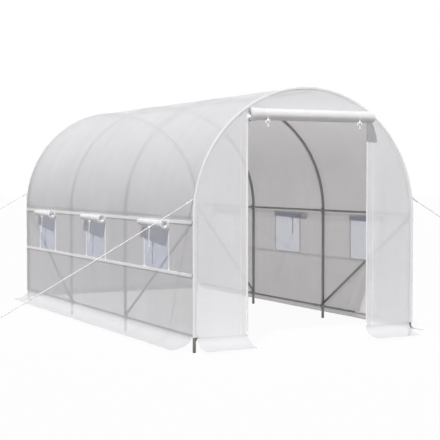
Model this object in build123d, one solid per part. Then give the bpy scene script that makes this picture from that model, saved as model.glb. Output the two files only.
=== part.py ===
"""Polytunnel greenhouse: steel hoops and rails under a film cover.

The cover has a rolled-up door at the front, netted windows with rolled-up flaps
along both sides, loose skirts at the ground and four guy ropes.
Millimetres, Z up, front towards -Y, origin on the ground at the centre of the plan.
"""
import os
from math import asin, atan2, cos, radians, sin, tan

from build123d import *

os.makedirs("parts", exist_ok=True)

# Overall size, measured over the frame tubes
tunnel_width = 2000.0
tunnel_length = 4000.0
tunnel_height = 2000.0
bay_count = 3

# Frame tubes, drawn with few sides
tube_sides = 8
hoop_tube = 25.0
hoop_wall = 1.0
rail_tube = 19.0
rail_wall = 1.0
ground_rail_height = 114.0
brace_top_drop = 18.0
brace_foot_rise = 20.0

# Saddle clips that hold each rail to each hoop
clip_gauge = 2.0
clip_width = 20.0
clip_ear = 15.0
clip_seat = 0.6

# Cover film and sewn trim
film = 2.0
seat_gap = 0.3
hem_height = 114.0
roof_panel_count = 6
binding_flat = 14.0
trim = 1.5
band_width = 24.0
upper_band_drop = 34.0
skirt_end_setback = 18.0
skirt_reach = 170.0
skirt_drop = 84.0
skirt_corner = 30.0
skirt_flats = 8

# Windows
window_width = 450.0
window_height = 370.0
window_strip = 24.0
window_roll_length = 510.0
window_roll = 62.0
window_roll_core = 30.0
window_roll_rise = 7.0
window_tie_drop = 150.0

# Doorway
door_width = 1080.0
gable_height = 220.0
door_strip = 26.0
door_roll = 94.0
door_roll_core = 40.0
door_roll_length = 1110.0
door_tie_spacing = 830.0
door_tie_drop = 48.0

# Rolls and ties
roll_sides = 16
tie_width = 14.0
toggle = 10.0
toggle_sides = 8
toggle_length = 30.0

# Guy ropes
rope = 5.0
rope_rise = 137.0
rope_reach = 2090.0
tongue_length = 34.0
tongue_width = 22.0
peg = 8.0
peg_height = 46.0
peg_head = 22.0
peg_head_gauge = 5.0
rope_hitch_height = 20.0

# Derived frame positions
hoop_r = hoop_tube / 2
rail_r = rail_tube / 2
hoop_radius = (tunnel_width - hoop_tube) / 2
spring_height = tunnel_height - tunnel_width / 2
end_plane = (tunnel_length - hoop_tube) / 2
bay = 2 * end_plane / bay_count
hoop_planes = [-end_plane + bay * i for i in range(bay_count + 1)]
bay_centres = [-end_plane + bay * (i + 1 / 2) for i in range(bay_count)]
rail_offset = hoop_radius - hoop_r - seat_gap - rail_r

# Derived cover faces, counted outwards from the arch axis or the end planes
film_in = hoop_radius + hoop_r + seat_gap
film_out = film_in + film
trim_in = film_out + seat_gap
trim_out = trim_in + trim
end_in = end_plane + hoop_r + seat_gap
end_out = end_in + film
end_trim_in = end_out + seat_gap
end_trim_out = end_trim_in + trim

# Derived heights of the openings and the rope tongues
upper_band_height = spring_height - upper_band_drop
window_top = upper_band_height - band_width / 2
window_sill = window_top - window_height
lower_band_height = window_sill - band_width / 2
door_top = tunnel_height - gable_height
rope_height = spring_height + rope_rise

front = -1
back = 1
left = -1
right = 1
half_turn = 180.0
octant = 45.0
arch_axis = Axis((0, 0, spring_height), (0, -1, 0))


def block(xs, ys, zs):
    """Box between two limits on each axis, given in either order."""
    size = [max(v) - min(v) for v in (xs, ys, zs)]
    middle = [sum(v) / 2 for v in (xs, ys, zs)]
    return Pos(*middle) * Box(*size)


def rod(start, end, radius):
    """Round bar between two points."""
    a = Vector(*start)
    b = Vector(*end)
    return Solid.make_cylinder(radius, (b - a).length, Plane(origin=a, z_dir=b - a))


def bar(start, end, diameter, sides=tube_sides):
    """Few-sided bar between two points, with corners on the stated diameter."""
    a = Vector(*start)
    b = Vector(*end)
    along = (b - a).normalized()
    across = Vector(0, 1, 0) if abs(along.X) > abs(along.Y) else Vector(1, 0, 0)
    section = Plane(origin=a, x_dir=across, z_dir=along) * RegularPolygon(diameter / 2, sides)
    return extrude(section, (b - a).length, dir=along)


def tube(start, end, diameter, wall):
    """Few-sided hollow bar between two points."""
    return bar(start, end, diameter) - bar(start, end, diameter - 2 * wall)


def solids_of(shape):
    """Plain list of the solids in a shape."""
    return list(shape.solids())


def node(name, *shapes):
    """Write one node as a STEP file, from one or more separate solids."""
    found = [s for shape in shapes for s in solids_of(shape)]
    made = found[0] if len(found) == 1 else Compound(found)
    made.label = name
    export_step(made, f"parts/{name}.step")


# Hoops: straight legs with a half-circle arch standing on each pair
leg_top = spring_height - seat_gap
for side, name in ((left, "left_posts"), (right, "right_posts")):
    x = side * hoop_radius
    legs = [tube((x, y, 0), (x, y, leg_top), hoop_tube, hoop_wall) for y in hoop_planes]
    node(name, *legs)

arch_names = ("front_arch", "second_arch", "third_arch", "back_arch")
for name, y in zip(arch_names, hoop_planes):
    section = Pos(hoop_radius, y, spring_height) * RegularPolygon(hoop_r, tube_sides)
    node(name, revolve(section, arch_axis, half_turn))

# Rails run the full length against the inside of the hoops
rail_end = end_plane + hoop_r
ridge_height = spring_height + rail_offset


def rail(x, z):
    """One full-length rail tube."""
    return tube((x, -rail_end, z), (x, rail_end, z), rail_tube, rail_wall)


node("ridge_rail", rail(0, ridge_height))
node("left_mid_rail", rail(left * rail_offset, spring_height))
node("right_mid_rail", rail(right * rail_offset, spring_height))
node("left_ground_rail", rail(left * rail_offset, ground_rail_height))
node("right_ground_rail", rail(right * rail_offset, ground_rail_height))

# Saddle clips: a strap folded over the rail with an ear each side against the hoop
fold_share = tan(radians(octant / 2))
clip_bore = rail_r + seat_gap
clip_out = clip_bore + clip_gauge
clip_foot = rail_r + seat_gap - clip_seat
clip_face = clip_foot - clip_gauge
ear_reach = clip_out + clip_ear


def saddle_clip():
    """Clip with its rail along Y at the origin and the hoop on the -X side."""
    lower = [
        (-clip_foot, -ear_reach),
        (-clip_face, -ear_reach),
        (-clip_face, -clip_out),
        (clip_out * fold_share, -clip_out),
        (clip_out, -clip_out * fold_share),
    ]
    bore = [
        (clip_bore, clip_bore * fold_share),
        (clip_bore * fold_share, clip_bore),
        (-clip_foot, clip_bore),
    ]
    upper = [(x, -z) for x, z in reversed(lower)]
    inside = list(reversed(bore)) + [(x, -z) for x, z in bore]
    profile = make_face(Polyline(*(lower + upper + inside), close=True))
    return extrude(Plane.XZ * profile, clip_width / 2, both=True)


clips = []
for y in hoop_planes:
    clips.append(Pos(0, y, ridge_height) * Rot(0, octant * 2, 0) * saddle_clip())
    for z in (spring_height, ground_rail_height):
        clips.append(Pos(left * rail_offset, y, z) * saddle_clip())
        clips.append(Pos(right * rail_offset, y, z) * Rot(0, 0, half_turn) * saddle_clip())
node("rail_clips", *clips)

# Braces in the end bays, cut square to the legs they meet
brace_top = spring_height - brace_top_drop
brace_foot = ground_rail_height + brace_foot_rise
cope_r = hoop_r + seat_gap
for side, name in ((left, "left_braces"), (right, "right_braces")):
    x = side * hoop_radius
    braces = []
    for end in (front, back):
        y_end = end * end_plane
        y_inner = end * (end_plane - bay)
        brace = tube((x, y_end, brace_top), (x, y_inner, brace_foot), rail_tube, rail_wall)
        for y in (y_end, y_inner):
            brace -= block((x - cope_r, x + cope_r), (y - cope_r, y + cope_r), (0, tunnel_height))
        braces.append(max(solids_of(brace), key=lambda s: s.volume))
    node(name, *braces)

# Side walls of film, with the window openings cut through
window_spans = [(y - window_width / 2, y + window_width / 2) for y in bay_centres]
for side, name in ((left, "left_side_wall"), (right, "right_side_wall")):
    faces = (side * film_in, side * film_out)
    wall = block(faces, (-end_plane, end_plane), (hem_height, spring_height))
    for span in window_spans:
        wall -= block(faces, span, (window_sill, window_top))
    node(name, wall)

# Roof film in strips round the arch
strip_angle = half_turn / roof_panel_count
film_middle = (film_in + film_out) / 2
roof_names = ("right_low", "right_mid", "right_top", "left_top", "left_mid", "left_low")
roof_section = Pos(film_middle, 0, spring_height) * Rectangle(film, 2 * end_plane)
roof_strip = revolve(roof_section, arch_axis, strip_angle)
for i, name in enumerate(roof_names):
    node(f"roof_{name}", roof_strip.rotate(arch_axis, strip_angle * i))


def gable(end):
    """Film closing one whole end of the tunnel."""
    ys = (end * end_in, end * end_out)
    sheet = block((-hoop_radius, hoop_radius), ys, (hem_height, spring_height))
    disc = rod((0, ys[0], spring_height), (0, ys[1], spring_height), hoop_radius)
    upper = block((-hoop_radius, hoop_radius), ys, (spring_height, tunnel_height))
    return sheet + (disc & upper)


# End walls: the back is closed, the front is split round the doorway
node("back_panel", gable(back))
front_faces = (front * end_in, front * end_out)
door_half = door_width / 2
front_wall = gable(front)
left_part = block((-hoop_radius, -door_half), front_faces, (0, tunnel_height))
right_part = block((door_half, hoop_radius), front_faces, (0, tunnel_height))
over_door = block((-door_half, door_half), front_faces, (door_top, tunnel_height))
node("front_left_panel", front_wall & left_part)
node("front_right_panel", front_wall & right_part)
node("front_gable_panel", front_wall & over_door)

# Bindings that fold over the arched edges, from roof film to end film
fold = hoop_r + seat_gap + film + seat_gap
fold_out = fold + trim
fold_profile = (
    (fold, -binding_flat),
    (fold, fold * fold_share),
    (fold * fold_share, fold),
    (-binding_flat, fold),
    (-binding_flat, fold_out),
    (fold_out * fold_share, fold_out),
    (fold_out, fold_out * fold_share),
    (fold_out, -binding_flat),
)
for end, name in ((front, "front_binding"), (back, "back_binding")):
    outline = [(hoop_radius + r, end * (end_plane + a)) for r, a in fold_profile]
    face = Pos(0, 0, spring_height) * make_face(Polyline(*outline, close=True))
    arch = revolve(face, arch_axis, half_turn)
    leg = extrude(face, amount=spring_height - hem_height, dir=(0, 0, -1))
    node(name, arch + leg + leg.rotate(Axis.Z, half_turn).mirror(Plane.XZ))

# Bands along the sides with a strip down each side of every window
for side, name in ((left, "left_bands"), (right, "right_bands")):
    faces = (side * trim_in, side * trim_out)
    run = (-end_plane + binding_flat + seat_gap, end_plane - binding_flat - seat_gap)
    bands = block(faces, run, (upper_band_height - band_width / 2, upper_band_height + band_width / 2))
    bands += block(faces, run, (lower_band_height - band_width / 2, lower_band_height + band_width / 2))
    for span in window_spans:
        for edge, way in zip(span, (front, back)):
            bands += block(faces, (edge, edge + way * window_strip), (window_sill, window_top))
    node(name, bands)

# Window nets fill the openings
for side, name in ((left, "left_window_nets"), (right, "right_window_nets")):
    nets = []
    for low, high in window_spans:
        faces = (side * film_in, side * film_out)
        heights = (window_sill + seat_gap, window_top - seat_gap)
        nets.append(block(faces, (low + seat_gap, high - seat_gap), heights))
    node(name, *nets)


def hollow_roll(start, end, diameter, core):
    """Rolled-up sheet as a thick sleeve."""
    return bar(start, end, diameter, roll_sides) - bar(start, end, core, roll_sides)


def tie(axis_dir, centre, diameter, drop):
    """Strap round a roll with a toggle on its hanging tail."""
    c = Vector(*centre)
    along = Vector(*axis_dir)
    across = Vector(along.Y, along.X, 0)
    ring_in = diameter / 2 + seat_gap
    ring_out = ring_in + trim
    a = c - along * (tie_width / 2)
    b = c + along * (tie_width / 2)
    strap = bar(a, b, 2 * ring_out, roll_sides)
    tail_top = c.Z - ring_in
    tail_foot = c.Z - ring_out - drop
    half = along * (tie_width / 2) + across * (trim / 2)
    low = c - half
    high = c + half
    strap += block((low.X, high.X), (low.Y, high.Y), (tail_foot, tail_top))
    foot = Vector(c.X, c.Y, tail_foot)
    reach = along * (toggle_length / 2)
    strap += bar(foot - reach, foot + reach, toggle, toggle_sides)
    return strap - bar(a, b, 2 * ring_in, roll_sides)


# Window flaps rolled up against the upper bands, with their ties
roll_x = trim_out + seat_gap + window_roll / 2
roll_z = upper_band_height + window_roll_rise - window_roll / 2
ties = []
for side, name in ((left, "left_window_rolls"), (right, "right_window_rolls")):
    rolls = []
    for y in bay_centres:
        start = (side * roll_x, y - window_roll_length / 2, roll_z)
        end = (side * roll_x, y + window_roll_length / 2, roll_z)
        rolls.append(hollow_roll(start, end, window_roll, window_roll_core))
        ties.append(tie((0, 1, 0), (side * roll_x, y, roll_z), window_roll, window_tie_drop))
    node(name, *rolls)
node("window_ties", *ties)

# Door sheet rolled up over the doorway, with its ties and edging strips
door_roll_y = front * (end_trim_out + seat_gap + door_roll / 2)
half_roll = door_roll_length / 2
door_start = (-half_roll, door_roll_y, door_top)
door_end = (half_roll, door_roll_y, door_top)
node("door_roll", hollow_roll(door_start, door_end, door_roll, door_roll_core))
door_ties = []
for x in (-door_tie_spacing / 2, door_tie_spacing / 2):
    door_ties.append(tie((1, 0, 0), (x, door_roll_y, door_top), door_roll, door_tie_drop))
node("door_ties", *door_ties)
strip_faces = (front * end_trim_in, front * end_trim_out)
strips = []
for side in (left, right):
    edges = (side * door_half, side * (door_half + door_strip))
    strips.append(block(edges, strip_faces, (hem_height, door_top)))
node("door_strips", *strips)

# Skirts flare out from the hem and end a little above the ground
quarter_turn = half_turn / 2


def flare_line(hub, reach, drop):
    """Points along a quarter of an oval, from the wall down to the skirt's edge."""
    turns = [radians(quarter_turn * i / skirt_flats) for i in range(skirt_flats + 1)]
    return [(hub - reach * cos(a), hem_height - drop * sin(a)) for a in turns]


def skirt(length, centre, turn, wall_face):
    """Flared skirt of one wall, turned about Z from the +X side."""
    hub = wall_face + skirt_reach
    half = length / 2
    lower = flare_line(hub, skirt_reach, skirt_drop)
    upper = flare_line(hub, skirt_reach - film, skirt_drop - film)
    outline = make_face(Polyline(*(lower + upper[::-1]), close=True))
    sheet = extrude(Plane.XZ * outline, half, both=True)
    plan = block((wall_face, hub), (-half, half), (0, hem_height))
    outer = plan.edges().filter_by(Axis.Z).sort_by(Axis.X)[-2:]
    piece = sheet & fillet(outer, skirt_corner)
    return Rot(0, 0, turn) * Pos(0, centre, 0) * piece


side_skirt = 2 * (end_plane - skirt_end_setback)
end_skirt = 2 * (hoop_radius - skirt_end_setback)
jamb_skirt = end_skirt / 2 - door_half
jamb_centre = door_half + jamb_skirt / 2
node("left_skirt", skirt(side_skirt, 0, half_turn, film_in))
node("right_skirt", skirt(side_skirt, 0, 0, film_in))
node("back_skirt", skirt(end_skirt, 0, quarter_turn, end_in))
front_skirts = [skirt(jamb_skirt, c, -quarter_turn, end_in) for c in (-jamb_centre, jamb_centre)]
node("front_skirts", *front_skirts)

# Guy ropes: a sewn tongue on each end binding, a taut rope and a ground peg
binding_out = hoop_radius + fold_out
tongue_seat = binding_out + seat_gap
rope_angle = asin((rope_height - spring_height) / tongue_seat)
seat_x = tongue_seat * cos(rope_angle)
peg_x = seat_x + rope_reach
slope = atan2(rope_height - rope_hitch_height, rope_reach)
hitch_clear = peg / 2 + seat_gap + rope / 2 * sin(slope)
ropes = []
tongues = []
pegs = []
for side in (left, right):
    for end in (front, back):
        y = end * end_plane
        along = Vector(side * cos(slope), 0, -sin(slope))
        seat = Vector(side * seat_x, y, rope_height)
        hitch = Vector(side * peg_x, y, rope_hitch_height)
        tongue_end = seat + along * tongue_length
        plane = Plane(origin=seat, x_dir=(0, 1, 0), z_dir=along)
        strap = extrude(plane * Rectangle(tongue_width, trim), tongue_length, both=True)
        drum = rod((0, y - tongue_width, spring_height), (0, y + tongue_width, spring_height), tongue_seat)
        tongues.append(max(solids_of(strap - drum), key=lambda s: s.volume))
        line_end = hitch - along * (hitch_clear / cos(slope))
        ropes.append(bar(tongue_end + along * seat_gap, line_end, rope, toggle_sides))
        ground = Vector(hitch.X, y, 0)
        peak = ground + Vector(0, 0, peg_height)
        stake = bar(ground, peak, peg)
        stake += bar(peak - Vector(0, 0, peg_head_gauge), peak, peg_head)
        pegs.append(stake)
node("guy_ropes", *ropes)
node("guy_tongues", *tongues)
node("guy_pegs", *pegs)
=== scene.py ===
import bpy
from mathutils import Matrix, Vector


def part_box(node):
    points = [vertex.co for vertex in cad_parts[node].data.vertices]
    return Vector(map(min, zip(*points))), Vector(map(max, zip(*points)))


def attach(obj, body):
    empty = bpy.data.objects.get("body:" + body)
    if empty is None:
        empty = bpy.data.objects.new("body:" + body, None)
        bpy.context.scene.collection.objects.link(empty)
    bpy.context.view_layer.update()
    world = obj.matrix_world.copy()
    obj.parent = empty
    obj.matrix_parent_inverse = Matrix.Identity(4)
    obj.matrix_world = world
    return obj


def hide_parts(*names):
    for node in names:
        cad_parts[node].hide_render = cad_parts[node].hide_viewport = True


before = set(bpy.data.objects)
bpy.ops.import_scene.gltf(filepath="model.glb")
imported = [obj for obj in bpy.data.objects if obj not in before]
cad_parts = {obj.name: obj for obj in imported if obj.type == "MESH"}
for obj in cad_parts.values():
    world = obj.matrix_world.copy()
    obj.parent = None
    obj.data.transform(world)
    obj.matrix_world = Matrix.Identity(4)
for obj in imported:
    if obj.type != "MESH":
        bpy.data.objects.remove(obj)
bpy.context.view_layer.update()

from math import acos, cos, exp, pi, sin, sqrt

import bpy
from bpy.props import FloatProperty, FloatVectorProperty, IntProperty, PointerProperty
from mathutils import Vector, noise

bl_info = {
    "name": "Polytunnel Greenhouse",
    "version": (1, 0, 0),
    "blender": (4, 5, 0),
    "location": "View3D > Sidebar > Polytunnel",
    "description": "Dresses the packed polytunnel frame with its film cover, trim and stays",
    "category": "Add Mesh",
}

# Axes and directions
X, Y, Z = range(3)
RIGHT, AHEAD, UP = (Vector(way) for way in ((1, 0, 0), (0, 1, 0), (0, 0, 1)))


def low(node, axis):
    """Lowest place of a frame node along one axis."""
    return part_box(node)[0][axis]


def high(node, axis):
    """Highest place of a frame node along one axis."""
    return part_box(node)[1][axis]


def middle(node, axis):
    """Middle of a frame node along one axis."""
    return (low(node, axis) + high(node, axis)) / 2


def extent(node, axis):
    """Length of a frame node along one axis."""
    return high(node, axis) - low(node, axis)


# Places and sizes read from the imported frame, in metres
ARCHES = ("front_arch", "second_arch", "third_arch", "back_arch")
TUBE_R = extent("front_arch", Y) / 2
HOOP_R = high("front_arch", X) - TUBE_R
SPRING = low("front_arch", Z)
HOOPS = [middle(arch, Y) for arch in ARCHES]
BAY = HOOPS[1] - HOOPS[0]
BAYS = [(a + b) / 2 for a, b in zip(HOOPS, HOOPS[1:])]
RAIL_R = extent("ridge_rail", X) / 2
RAIL_END = high("ridge_rail", Y)
FILM_R = middle("right_side_wall", X)
HEM = low("right_side_wall", Z)
END_FILM = middle("back_panel", Y)
BAND = low("left_window_nets", Z) - low("left_bands", Z)
UPPER_BAND = high("left_bands", Z) - BAND / 2
LOWER_BAND = low("left_bands", Z) + BAND / 2
SILL = low("left_window_nets", Z)
HEAD = high("left_window_nets", Z)
WINDOW = extent("left_window_nets", Y) / 2 - BAY
ROLL_X = middle("right_window_rolls", X)
ROLL_Z = middle("right_window_rolls", Z)
ROLL_R = extent("right_window_rolls", Z) / 2
ROLL_HALF = extent("right_window_rolls", Y) / 2 - BAY
DOOR = high("front_gable_panel", X)
DOOR_TOP = low("front_gable_panel", Z)
DOOR_ROLL_R = extent("door_roll", Z) / 2
DOOR_ROLL_Y = middle("door_roll", Y)
DOOR_ROLL_HALF = high("door_roll", X)
SKIRT_REACH = extent("right_skirt", X)
SKIRT_DROP = extent("right_skirt", Z)
PEG_X = high("guy_pegs", X) - extent("guy_pegs", Y) / 2 + HOOPS[3]
ROPE_TOP = middle("guy_tongues", Z)

# Sizes of the frame's pegs and toggles, which its boxes don't give, in metres
PEG_R = 0.004
FRAME_TOGGLE_R = 0.005
FRAME_TOGGLE_HALF = 0.015
STRAP_END = low("window_ties", Z) + FRAME_TOGGLE_R

# Sizes that only the dressing has, in metres
WINDOW_HOLLOW = ROLL_R * 0.56
DOOR_HOLLOW = DOOR_ROLL_R * 0.5
STRAP_THICK = 0.0012
TOGGLE_HALF = 0.012
TOGGLE_R = 0.0045
SEAM_LIFT = 0.0008
BAND_LIFT = 0.0012
BAND_END = 0.013
NET_MARGIN = 0.008
BORE_DEPTH = 0.05


class FilmSettings(bpy.types.PropertyGroup):
    """Cover film, nets and skirts."""

    colour: FloatVectorProperty(
        name="Film colour", description="Colour of the woven cover film",
        subtype="COLOR", size=3, min=0, max=1, default=(0.775, 0.773, 0.80))
    end_colour: FloatVectorProperty(
        name="End film colour", description="Colour of the front and back film",
        subtype="COLOR", size=3, min=0, max=1, default=(0.94, 0.95, 0.975))
    # Painted light: the cover film's colour is darker low on the walls and lighter on the roof, standing in
    # for how the light falls there.
    height_light: FloatVectorProperty(
        name="Painted height light", description="Brightness of the cover film low on the walls and on the roof",
        subtype="NONE", size=2, min=0, max=2, default=(0.91, 1.06))
    glow: FloatVectorProperty(
        name="Glow colour", description="Colour of the light that the film passes on softly",
        subtype="COLOR", size=3, min=0, max=1, default=(0.84, 0.79, 0.785))
    passed: FloatProperty(
        name="Soft share", description="Share of the film that passes light on softly",
        subtype="FACTOR", min=0, max=1, default=0.185)
    cover: FloatProperty(
        name="Film cover", description="Share of light that the film stops",
        subtype="FACTOR", min=0, max=1, default=0.765)
    end_cover: FloatProperty(
        name="End film cover", description="Share of light that the end walls stop",
        subtype="FACTOR", min=0, max=1, default=0.765)
    skirt_cover: FloatProperty(
        name="Skirt cover", description="Share of light that the skirts stop",
        subtype="FACTOR", min=0, max=1, default=0.80)
    milk: FloatProperty(
        name="Roof milk", description="How much less see-through the film is at the crown",
        subtype="FACTOR", min=0, max=1, default=0.07)
    streak: FloatProperty(
        name="Streaks", description="Light and dark of the drawn streaks in the cover film",
        subtype="FACTOR", min=0, max=1, default=0.014)
    weave: FloatProperty(
        name="Weave pitch", description="Spacing of the reinforcing threads in the film",
        unit="LENGTH", default=0.009)
    roof_sag: FloatProperty(
        name="Roof sag", description="How far the film dips between two hoops on the roof",
        unit="LENGTH", default=0.0025)
    wall_sag: FloatProperty(
        name="Wall sag", description="How far the film dips between two hoops on the walls",
        unit="LENGTH", default=0.0022)
    net_colour: FloatVectorProperty(
        name="Net colour", description="Colour of the window net threads",
        subtype="COLOR", size=3, min=0, max=1, default=(0.73, 0.785, 0.95))
    net_pitch: FloatProperty(
        name="Net pitch", description="Spacing of the window net threads",
        unit="LENGTH", default=0.003)


class TrimSettings(bpy.types.PropertyGroup):
    """Bands, bindings, rolls and ties."""

    colour: FloatVectorProperty(
        name="Trim colour", description="Colour of the white webbing",
        subtype="COLOR", size=3, min=0, max=1, default=(0.95, 0.95, 0.96))
    roll_colour: FloatVectorProperty(
        name="Roll colour", description="Colour of the rolled-up flaps",
        subtype="COLOR", size=3, min=0, max=1, default=(0.92, 0.92, 0.93))
    thickness: FloatProperty(
        name="Webbing thickness", description="Thickness of the bands and bindings",
        unit="LENGTH", default=0.0016)
    strip: FloatProperty(
        name="Window strip", description="Width of the strips beside the windows",
        unit="LENGTH", default=0.02)
    strap: FloatProperty(
        name="Strap width", description="Width of the straps that hold the rolls",
        unit="LENGTH", default=0.014)
    lean: FloatProperty(
        name="Roll lean", description="Share by which a window roll is fatter at its front end",
        subtype="FACTOR", min=0, max=1, default=0.14)
    flare: FloatProperty(
        name="Band flare", description="How far the lower edge of a side band stands off the film",
        unit="LENGTH", default=0.0025)
    edging: FloatProperty(
        name="Door edging", description="Width of the edging beside the doorway",
        unit="LENGTH", default=0.013)
    binding: FloatProperty(
        name="Binding flat", description="Width of each flat of the arch bindings",
        unit="LENGTH", default=0.016)
    window_turns: FloatProperty(
        name="Window roll turns", description="Turns of film in each window roll", default=2.6)
    door_turns: FloatProperty(
        name="Door roll turns", description="Turns of film in the door roll", default=7.5)


class FrameSettings(bpy.types.PropertyGroup):
    """Steel tubes and fixings."""

    # The dark grey is partly the steel's own colour and partly painted shade, for tubes that show dark
    # against the lit film.
    colour: FloatVectorProperty(
        name="Tube colour", description="Colour of the galvanised steel",
        subtype="COLOR", size=3, min=0, max=1, default=(0.30, 0.29, 0.28))
    sides: IntProperty(
        name="Tube sides", description="Flats round each tube", default=24)
    wall: FloatProperty(
        name="Tube wall", description="Thickness of the tube walls",
        unit="LENGTH", default=0.0012)
    joint: FloatProperty(
        name="Joint length", description="Length of the sleeve where two rail lengths meet",
        unit="LENGTH", default=0.075)


class RopeSettings(bpy.types.PropertyGroup):
    """Guy ropes."""

    colour: FloatVectorProperty(
        name="Rope colour", description="Colour of the guy ropes",
        subtype="COLOR", size=3, min=0, max=1, default=(0.93, 0.93, 0.94))
    diameter: FloatProperty(
        name="Rope diameter", description="Diameter of the twisted rope",
        unit="LENGTH", default=0.007)
    lay: FloatProperty(
        name="Rope lay", description="Length of one twist of the strands",
        unit="LENGTH", default=0.024)


class StageSettings(bpy.types.PropertyGroup):
    """Light, floor and camera."""

    sun: FloatProperty(
        name="Key light", description="Strength of the key light", default=3.6)
    sun_travel: FloatVectorProperty(
        name="Key direction", description="Direction in which the key light travels",
        subtype="DIRECTION", size=3, default=(0.46, 0.52, -1.0))
    sun_spread: FloatProperty(
        name="Key spread", description="Angle that the key light fills",
        subtype="ANGLE", default=0.0015)
    fill: FloatProperty(
        name="Fill light", description="Strength of the soft light from the front", default=0.66)
    fill_travel: FloatVectorProperty(
        name="Fill direction", description="Direction in which the fill light travels",
        subtype="DIRECTION", size=3, default=(-0.08, 1.0, -0.03))
    fill_spread: FloatProperty(
        name="Fill spread", description="Angle that the fill light fills",
        subtype="ANGLE", default=0.9)
    ambient: FloatProperty(
        name="Ambient light", description="Strength of the light from all round", default=0.12)
    floor: FloatVectorProperty(
        name="Floor colour", description="Colour of the floor",
        subtype="COLOR", size=3, min=0, max=1, default=(0.40, 0.39, 0.385))
    camera: FloatVectorProperty(
        name="Camera place", description="Where the camera stands",
        subtype="TRANSLATION", size=3, default=(-4.64223, -9.46007, 1.30312))
    turn: FloatProperty(
        name="Camera turn", description="How far the camera turns to the right of straight ahead",
        subtype="ANGLE", default=0.47783)
    tilt: FloatProperty(
        name="Camera tilt", description="How far the camera looks down",
        subtype="ANGLE", default=0.03787)
    lens: FloatProperty(
        name="Lens", description="Focal length of the camera in millimetres", default=92.03)


SETTINGS = {
    "tunnel_film": FilmSettings,
    "tunnel_trim": TrimSettings,
    "tunnel_frame": FrameSettings,
    "tunnel_rope": RopeSettings,
    "tunnel_stage": StageSettings,
}


# Mesh building

class Shape:
    """Points, faces and cloth coordinates of one piece, gathered part by part."""

    def __init__(self):
        self.points = []
        self.faces = []
        self.cloth = []

    def grid(self, rows, cloth=None, ring=False, keep=None):
        """Joins rows of points into the quads to keep; a ring also joins each row's end to its start."""
        first = len(self.points)
        across = len(rows[0])
        for i, row in enumerate(rows):
            self.points.extend(tuple(p) for p in row)
            self.cloth.extend(cloth[i] if cloth else [(0.0, 0.0)] * across)
        for i in range(len(rows) - 1):
            for j in range(across if ring else across - 1):
                if keep is None or keep(i, j):
                    here = first + i * across
                    there = here + across
                    k = (j + 1) % across
                    self.faces.append((here + j, here + k, there + k, there + j))
        return first

    def cap(self, first, count, turned=False):
        """Closes one row of points with a flat face."""
        loop = list(range(first, first + count))
        self.faces.append(tuple(reversed(loop)) if turned else tuple(loop))

    def piece(self, name, finish, replaces=(), smooth=True):
        """Turns the gathered shape into an object that rides on the frame."""
        mesh = bpy.data.meshes.new(name)
        mesh.from_pydata(self.points, [], self.faces)
        layer = mesh.uv_layers.new(name="cloth")
        for loop in mesh.loops:
            layer.data[loop.index].uv = self.cloth[loop.vertex_index]
        mesh.materials.append(finish)
        mesh.polygons.foreach_set("use_smooth", [smooth] * len(mesh.polygons))
        mesh.validate()
        mesh.update()
        made = bpy.data.objects.new(name, mesh)
        bpy.context.scene.collection.objects.link(made)
        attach(made, "root")
        if replaces:
            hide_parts(*replaces)
        return made


def steps(start, end, count):
    """Evenly spaced values from start to end, both included."""
    return [start + (end - start) * i / count for i in range(count + 1)]


def frames_along(path):
    """Place, tangent, side and up at each point of a path, without twisting."""
    points = [Vector(p) for p in path]
    found = []
    side = None
    for i in range(len(points)):
        along = points[min(i + 1, len(points) - 1)] - points[max(i - 1, 0)]
        along.normalize()
        if side is None:
            side = along.orthogonal()
        side = (side - along * side.dot(along)).normalized()
        found.append((points[i], along, side, along.cross(side)))
    return found


def ring_at(spot, side, up, radius, sides):
    """Points of a circle about a spot."""
    return [spot + side * (radius * cos(2 * pi * k / sides)) + up * (radius * sin(2 * pi * k / sides))
            for k in range(sides)]


def tube(shape, path, radius, sides, wall=0.0):
    """Round tube along a path, with open ends of the stated wall, or solid ends without one."""
    found = frames_along(path)
    radii = radius if isinstance(radius, list) else [radius] * len(found)
    rows = [ring_at(spot, side, up, r, sides) for (spot, along, side, up), r in zip(found, radii)]
    if wall:
        for end, turn in ((0, 1), (-1, -1)):
            spot, along, side, up = found[end]
            bore = radii[end] - wall
            edge = ring_at(spot, side, up, bore, sides)
            inner = ring_at(spot + along * (turn * BORE_DEPTH), side, up, bore, sides)
            rows = [inner, edge] + rows if end == 0 else rows + [edge, inner]
    first = shape.grid(rows, ring=True)
    shape.cap(first, sides, turned=True)
    shape.cap(first + (len(rows) - 1) * sides, sides)


def ribbon(shape, spots, outs, across, width, thickness, flare=0.0):
    """Flat webbing along a row of spots, sewn to a surface, with its lower edge flared out.

    The outward direction is one vector, or a list with one for each spot.
    """
    spots = [Vector(spot) for spot in spots]
    outs = outs if isinstance(outs, list) else [outs] * len(spots)
    half = width / 2
    edge = min(thickness, half / 3)
    side = [(half, -edge), (half, thickness * 0.5), (half - edge, thickness), (half - 2 * edge, thickness)]
    profile = [(-a, h) for a, h in side] + side[::-1]
    profile = [(a, h + flare * (half - a) / width if h > 0 else h) for a, h in profile]
    if (spots[1] - spots[0]).cross(across).dot(outs[0]) > 0:
        profile.reverse()
    rows = []
    cloth = []
    run = 0.0
    for i, spot in enumerate(spots):
        run += (spot - spots[i - 1]).length if i else 0.0
        rows.append([spot + across * a + outs[i] * h for a, h in profile])
        cloth.append([(run, a) for a, h in profile])
    first = shape.grid(rows, cloth)
    count = len(profile)
    shape.cap(first, count)
    shape.cap(first + (len(rows) - 1) * count, count, turned=True)


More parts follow.
